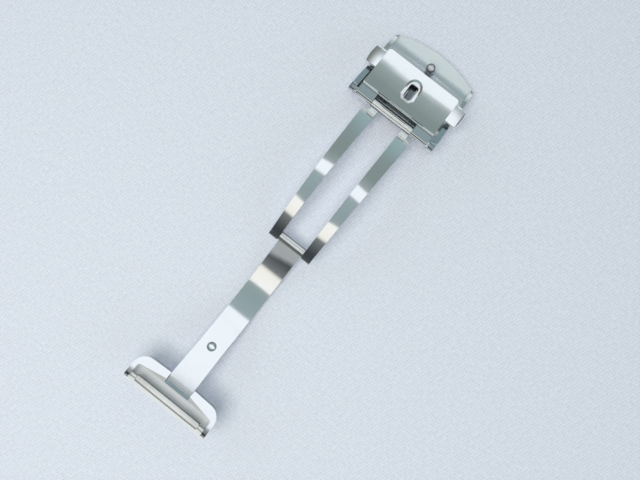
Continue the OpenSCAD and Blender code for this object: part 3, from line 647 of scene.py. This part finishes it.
# The far edge and the outer side edges of the cover get the darker edge steel: painted shade where the plate
# meets the cloth.
refinish(cover, "cut_edge_and_shade", lambda f: 0.1 < f.normal.z < 0.9 and f.center.y > side_end
         and (f.normal.y > 0.25 or f.normal.x * math.copysign(1, f.center.x) > 0.3))

roof_end = max(v.co.y for v in housing.data.vertices) - ROOF_EDGE * MM
ear_top = (middle_of("main_hinge_pin").z + 0.95) * MM
ear_end, gap_end = (hinge_y + 1.4) * MM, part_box("housing_base")[0].y + 0.2 * MM
refinish(housing, "ear_satin", lambda f: f.normal.z > 0.6 and f.center.y < ear_end)
# The far edge of the roof gets the darker edge steel: a painted dark line of shade.
refinish(housing, "cut_edge_and_shade", lambda f: f.center.y > roof_end and f.normal.y > 0.35)
# The window's bevel gets a pale, mostly matt steel: a painted highlight round the window.
refinish(housing, "ring_highlight_steel", on_window_bevel)
# The inner walls of the notch by the hinge are painted near black: painted shade in the deep notch.
refinish(housing, "notch_shade", lambda f: abs(f.center.x) < 4.9 * MM and f.center.z < ear_top
         and f.center.y < gap_end and (f.normal.y < -0.5 or abs(f.normal.x) > 0.9))
# The floor of the latch is painted dark: painted shade inside the housing.
refinish(plates["housing_base"], "shaded_latch_floor", lambda f: f.normal.z > 0.9)

# %% [markdown]
# The strap end and the blades follow. The floor of the tray and the foot that is pressed into it are matt, and
# painted shade darkens the ends of the arms. The sides of a blade are cut and its hinge tube is rolled. The
# foot has two parts: the slope that comes down from the blade, painted lighter, and the flat end that lies on
# the floor, painted darker as shade in the slot. Faces could be picked by hand, but a test of their place and
# direction says why each one is meant, and it still holds when the model changes.

# %% Refinish the strap end and the blades
def near_axis(node, reach):
    """A test for faces close to the axis of a pin that lies along X."""
    low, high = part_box(node)
    middle = (low + high) / 2
    return lambda f: math.hypot(f.center.y - middle.y, f.center.z - middle.z) < reach * MM


tray, blade, fork = plates["strap_end"], plates["fold_blade"], plates["fork_blade"]
floor_top = max(v.co.dot(lean_up) for v in tray.data.vertices) - 1.0 * MM
refinish(tray, "tray_satin", lambda f: f.normal.dot(lean_up) > 0.95 and f.center.dot(lean_up) < floor_top)
refinish(tray, "arm_steel", lambda f: f.center.dot(lean_along) < arms_end * MM
         and over_wall(f) and f.normal.dot(lean_up) > 0.3)
# The strap end's faces that look towards the cover get the darker edge steel: painted shade.
refinish(tray, "cut_edge_and_shade", lambda f: f.normal.y > 0.12 and f.normal.dot(lean_up) < 0.75
         and f.normal.x * f.center.x > -1e-6)

# The cut sides of the blades are duller and darker: partly their own cut finish, partly a painted dark outline.
for plate in (fork, blade):
    refinish(plate, "cut_edge_and_shade", lambda f: abs(f.normal.x) > 0.97)
refinish(fork, "rolled_tube", near_axis("main_hinge_pin", 1.3))
refinish(blade, "rolled_tube", near_axis("blade_hinge_pin", 1.05))


def lies_flat(face):
    """A test for faces that look up from the strap end as its floor does."""
    return (face.normal - lean_up).length < 0.12


foot_y, foot_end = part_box("strap_end")[1].y, (bar_along + 3.6) * MM
# The slope of the foot is painted lighter and its flat end darker: painted light and painted shade in the slot.
refinish(blade, "lit_foot_satin", lambda f: f.center.y < foot_y and f.normal.y < 0.2 and f.normal.z > 0.3
         and not lies_flat(f))
refinish(blade, "shaded_foot_satin", lambda f: f.center.dot(lean_along) < foot_end and lies_flat(f))

# %% [markdown]
# A fine groove stands round the riveted end of the stud, because the hole in the blade is a little wider than
# the rivet. Its faces are painted darker: painted shade in the narrow gap. The stud's box gives its radius, and
# its top lies square to the slope of the blade.

# %% Darken the groove round the stud
low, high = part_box("catch_stud")
rivet_r = (high.x - low.x) / 2 / MM
rivet_top = Vector((0, high.y - rivet_r * MM * math.cos(TEE_LEAN),
                    high.z - rivet_r * MM * math.sin(TEE_LEAN)))


def in_groove(face):
    """A test for the groove round the stud's riveted end."""
    out = face.center - rivet_top
    deep = -out.dot(lean_up)
    return (out + lean_up * deep).length < 1.02 * MM and 0.02 * MM < deep < 0.6 * MM


refinish(blade, "shaded_side_satin", in_groove)

# %% [markdown]
# Push buttons
#
# The two push buttons look alike, but only one shines in the photograph. Their tops are crowned: they
# fall away towards the outer end, so the outer part of the left button mirrors the dim side of the room
# while the right one still faces the panels. A button is cut across in even slices, and each slice's
# top edge is lowered a little more than the last.

# %% Crown the buttons
CROWN_RADIUS = 26
SLICES = 8


def crown(side):
    """A shaping step that lowers a button's top towards its outer end."""
    def shape(piece):
        low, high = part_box("right_button")
        reach = high.x - low.x
        for cut in range(1, SLICES):
            bpy.ops.mesh.select_all(action="SELECT")
            bpy.ops.mesh.bisect(plane_co=(side * (low.x + reach * cut / SLICES), 0, 0), plane_no=(1, 0, 0))
        corners = [v.co.copy() for v in bmesh.from_edit_mesh(piece.data).verts]
        top = max(c.z for c in corners) - 0.4 * MM
        for place in sorted({round(abs(c.x) / MM, 3) * MM for c in corners}):
            out = place - low.x
            if out > 0 and pick(piece, lambda c: abs(abs(c.x) - place) < 1e-6 and c.z > top):
                bpy.ops.transform.translate(value=(0, 0, -out * out / (2 * CROWN_RADIUS * MM)))
    return shape


for node, side in (("left_button", -1), ("right_button", 1)):
    rounded(node, "polished_steel", 0.16, shape=crown(side))

# %% [markdown]
# Turned pieces
#
# Pins, the peg, the stud, and the tube and tips of the spring bar are turned on a lathe. Each could be
# a profile that is spun, but building it as the lathe sees it is easier to follow: start with a disc at
# one end, extrude it along the axis, and scale each new ring to the radius there. The rings are given
# in millimetres as distance along the axis and radius.

# %% Turn a piece
SIDES = 48


def turned(name, start, axis, rings, sides=SIDES, hollow=False):
    """A round piece from its rings. A hollow one comes back along its bore to its first ring."""
    axis = Vector(axis).normalized()
    spot = Vector(start) + axis * rings[0][0] * MM
    bpy.ops.object.select_all(action="DESELECT")
    bpy.ops.mesh.primitive_circle_add(
        vertices=sides, radius=rings[0][1] * MM, fill_type="NOTHING" if hollow else "NGON",
        location=spot, rotation=axis.to_track_quat("Z", "Y").to_euler())
    piece = bpy.context.object
    piece.name = name
    bpy.ops.object.mode_set(mode="EDIT")
    bpy.ops.mesh.select_all(action="SELECT")
    for (d0, r0), (d1, r1) in zip(rings, rings[1:]):
        step = axis * (d1 - d0) * MM
        spot = spot + step
        bpy.ops.mesh.extrude_region_move(TRANSFORM_OT_translate={"value": step})
        bpy.ops.transform.resize(value=(r1 / r0,) * 3, center_override=spot)
    return close_up(piece)


def close_up(piece, smooth=34):
    """Merges what meets, turns the faces outwards and puts the object at the origin."""
    bpy.ops.mesh.select_all(action="SELECT")
    bpy.ops.mesh.remove_doubles(threshold=0.0005 * MM)
    bpy.ops.mesh.normals_make_consistent(inside=False)
    bpy.ops.object.mode_set(mode="OBJECT")
    bpy.ops.object.transform_apply(location=True, rotation=True, scale=True)
    bpy.ops.object.shade_smooth_by_angle(angle=math.radians(smooth))
    return piece


print("a turned piece has", SIDES, "sides, unless its row says otherwise")

# %% [markdown]
# The two hinge pins are plain rods whose ends are peened into shallow domes. A bevel could round them, but
# a dome is wider than it is deep, so each end is a quarter of an ellipse, written as rings.

# %% Turn the hinge pins
def round_end(d, r, depth, rise, steps=6):
    """Rings of a rounded end: from a smaller radius at d out to r, over a depth along the axis."""
    turn = [math.pi / 2 * i / steps for i in range(steps + 1)]
    return [(d + depth * (1 - math.cos(t)), r - rise * (1 - math.sin(t))) for t in turn]


def dress(piece, node, finish):
    """Gives a new piece its finish and puts it in the node's place."""
    piece.data.materials.clear()
    piece.data.materials.append(FINISHES[finish])
    stand_in(piece, node)
    return piece


def pin_along_x(name, node, depth, rise):
    """A pin between the ends of its node's box, with rounded ends."""
    low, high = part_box(node)
    middle = (low + high) / 2
    length, r = (high.x - low.x) / MM, (high.z - low.z) / 2 / MM
    near = round_end(0, r, depth, rise)
    far = [(length - d, ring) for d, ring in reversed(near)]
    return turned(name, (low.x, middle.y, middle.z), (1, 0, 0), near + far)


dress(pin_along_x("main_pin", "main_hinge_pin", 0.22, 0.40), "main_hinge_pin", "polished_steel")
dress(pin_along_x("blade_pin", "blade_hinge_pin", 0.12, 0.30), "blade_hinge_pin", "polished_steel")

# %% [markdown]
# The guide pins of the latch stand upright, and their ends are riveted. Each could stay a piece of its own,
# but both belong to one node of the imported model, so they are joined.

# %% Turn the guide pins
low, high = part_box("guide_pins")
guide_r = (high.y - low.y) / 2 / MM
guide_h = (high.z - low.z) / MM
guide_rings = [(0, 0.2), (0.02, guide_r - 0.06), (0.08, guide_r),
               (guide_h - 0.08, guide_r), (guide_h, guide_r - 0.08)]
guides = [turned(f"guide_pin_{i}", (x * MM, (low.y + high.y) / 2, low.z), (0, 0, 1), guide_rings, 32)
          for i, x in enumerate((low.x / MM + guide_r, high.x / MM - guide_r))]
bpy.ops.object.select_all(action="DESELECT")
for guide in guides:
    guide.select_set(True)
bpy.context.view_layer.objects.active = guides[0]
bpy.ops.object.join()
guides[0].name = "guide_pin_pair"
dress(guides[0], "guide_pins", "latch_steel")

# %% [markdown]
# The peg goes through the strap's hole. It is a ball on a short neck, and it stands square to the curved
# cover, so its axis leans towards the hinge by almost eight degrees. A sphere and a cylinder could be
# stuck together, but one row of rings gives neck and ball in a single skin, with no seam between them.

# %% Turn the peg
low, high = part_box("strap_peg")
ball_r = (high.x - low.x) / 2 / MM
ball_at = Vector((0, (low.y + high.y) / 2, high.z - ball_r * MM))
PEG_LEAN = math.radians(7.76)
NECK_R = 0.55
peg_axis = Vector((0, -math.sin(PEG_LEAN), math.cos(PEG_LEAN)))
peg_foot = (ball_at.z - low.z) / MM / math.cos(PEG_LEAN) - NECK_R * math.tan(PEG_LEAN)
start_turn = math.asin(NECK_R / ball_r)
ball = [(peg_foot - ball_r * math.cos(t), ball_r * math.sin(t))
        for t in (start_turn + (math.radians(177) - start_turn) * i / 18 for i in range(19))]
neck = [(0, NECK_R - 0.05), (0.05, NECK_R), (peg_foot - ball_r * math.cos(start_turn) - 0.08, NECK_R)]
peg = turned("peg", ball_at - peg_axis * peg_foot * MM, peg_axis, neck + ball)
dress(peg, "strap_peg", "peg_steel")
# The neck below the ball gets the darker edge steel: painted shade under the ball.
refinish(peg, "cut_edge_and_shade", lambda f: (f.center - ball_at).length > 1.03 * ball_r * MM)

# %% [markdown]
# The stud is riveted through the narrow blade. Its head is on the strap's side, and what shows here is the
# riveted end: a flat disc with a fine groove round it. The rings run from that end to the head, and two
# rings at one distance make a flat step.

# %% Turn the stud
stud_rings = [(0, 0.3), (0, rivet_r - 0.20), (0.03, rivet_r - 0.11), (0.09, rivet_r - 0.04), (0.2, rivet_r),
              (0.4, rivet_r), (0.4, 0.6), (2.51, 0.6), (2.55, 0.56), (2.55, 0.42), (3.11, 0.42), (3.11, 0.71),
              (3.15, 0.75), (3.28, 0.75), (3.57, 0.42), (3.61, 0.34)]
stud = dress(turned("stud", rivet_top, -lean_up, stud_rings), "catch_stud", "polished_steel")
# The rim of the stud's end gets a darker steel: painted shade at the edge of the groove.
refinish(stud, "ear_satin", lambda f: 0.66 * MM < (f.center - rivet_top).length < 1.0 * MM)

# %% [markdown]
# Spring bar
#
# The bar is a thin tube whose ends are crimped over two sprung tips. Each tip has a flange for the
# fingernail or the tool, and a fine pivot that sits in the arm of the strap end. A solid rod would look
# the same at rest, but the tips slide, so the tube is hollow and its rings come back along the bore.

# %% Turn the spring bar
low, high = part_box("spring_bar_barrel")
bar_middle = (low + high) / 2
tube_l, tube_r = (high.x - low.x) / MM, (high.z - low.z) / 2 / MM
crimp_r, bore_r, crimp = 0.43, tube_r - 0.16, 0.5
half_tube = [(0, crimp_r), (0, tube_r - 0.12), (0.05, tube_r - 0.05), (0.16, tube_r)]
tube_rings = half_tube + [(tube_l - d, r) for d, r in reversed(half_tube)]
tube_rings += [(tube_l - crimp, crimp_r), (tube_l - crimp, bore_r),
               (crimp, bore_r), (crimp, crimp_r), (0, crimp_r)]
tube = turned("bar_tube", (low.x, bar_middle.y, bar_middle.z), (1, 0, 0), tube_rings, hollow=True)
dress(tube, "spring_bar_barrel", "bar_steel")

for side, node in ((-1, "left_bar_tip"), (1, "right_bar_tip")):
    low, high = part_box(node)
    inner_x = min(abs(low.x), abs(high.x)) / MM
    outer_x = max(abs(low.x), abs(high.x)) / MM
    plunger_r = (high.z - low.z) / 2 / MM
    flange_x = outer_x - 0.9
    rings = [(inner_x, plunger_r - 0.08), (inner_x + 0.08, plunger_r), (inner_x + 2.12, plunger_r),
             (inner_x + 2.2, plunger_r - 0.08), (inner_x + 2.2, 0.4), (flange_x, 0.4),
             (flange_x + 0.02, 0.46), (flange_x + 0.08, 0.5), (flange_x + 0.24, 0.5), (flange_x + 0.3, 0.46),
             (flange_x + 0.3, 0.33), (outer_x - 0.14, 0.33), (outer_x - 0.04, 0.26), (outer_x, 0.12)]
    tip = turned(node + "_turned", (0, bar_middle.y, bar_middle.z), (side, 0, 0), rings, 36)
    dress(tip, node, "bar_steel")

# %% [markdown]
# Springs
#
# Three coil springs do the work: one in the bar pushes its tips out, two in the latch push the buttons out. A
# coil could be a curve, but the Screw modifier is the natural tool: a small circle, the wire's section, is
# carried round the axis and along it at once. Each coil is wound from a held end to the end that a button or
# tip pushes, and the share of its length that it keeps at the joint's full travel is worked out and printed.
# The bar's spring is pushed from both ends, so it is wound as two halves that meet, and are held, in the
# middle.

# %% Wind the springs
joints = frame["record"]["behaviour"]["joints"]
travel = {row["name"]: row["range_m"][1] for row in joints if "range_m" in row}


def wound(node, held, pushed, wire, turns, joint):
    """A coil spring along X, in the place of a node, wound from its held end, with the share of its length it
    keeps at the joint's full travel printed.
    """
    low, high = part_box(node)
    length, r = abs(pushed - held), (high.z - low.z) / 2
    start = Vector((min(held, pushed) + wire * MM, (low.y + high.y) / 2, (low.z + high.z) / 2))
    bpy.ops.object.select_all(action="DESELECT")
    bpy.ops.mesh.primitive_circle_add(vertices=10, radius=wire / 2 * MM, fill_type="NGON",
                                      location=start, rotation=(math.radians(90), 0, 0))
    piece = bpy.context.object
    piece.name = joint + "_coil"
    bpy.ops.object.transform_apply(location=False, rotation=True, scale=True)
    bpy.ops.object.mode_set(mode="EDIT")
    bpy.ops.mesh.select_all(action="SELECT")
    bpy.ops.transform.translate(value=(0, 0, r - wire / 2 * MM))
    bpy.ops.object.mode_set(mode="OBJECT")
    screw = piece.modifiers.new("winding", "SCREW")
    screw.axis = "X"
    screw.iterations = turns
    screw.screw_offset = (length - 2 * wire * MM) / turns
    screw.steps = screw.render_steps = 24
    bpy.ops.object.modifier_apply(modifier="winding")
    bpy.ops.object.mode_set(mode="EDIT")
    dress(close_up(piece, 60), node, "spring_steel")
    keep = 1 - travel[joint] / length
    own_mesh(piece)
    print(piece.name, "shortens to", round(keep, 3), "of its length")


for side, hand in ((-1, "left"), (1, "right")):
    wound("spring_bar_spring", 0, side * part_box("spring_bar_spring")[1].x, 0.15, 11, hand + "_tip_slide")
    inner, outer = sorted((corner.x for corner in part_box(hand + "_button_spring")), key=abs)
    wound(hand + "_button_spring", inner, outer, 0.2, 6, hand + "_push")
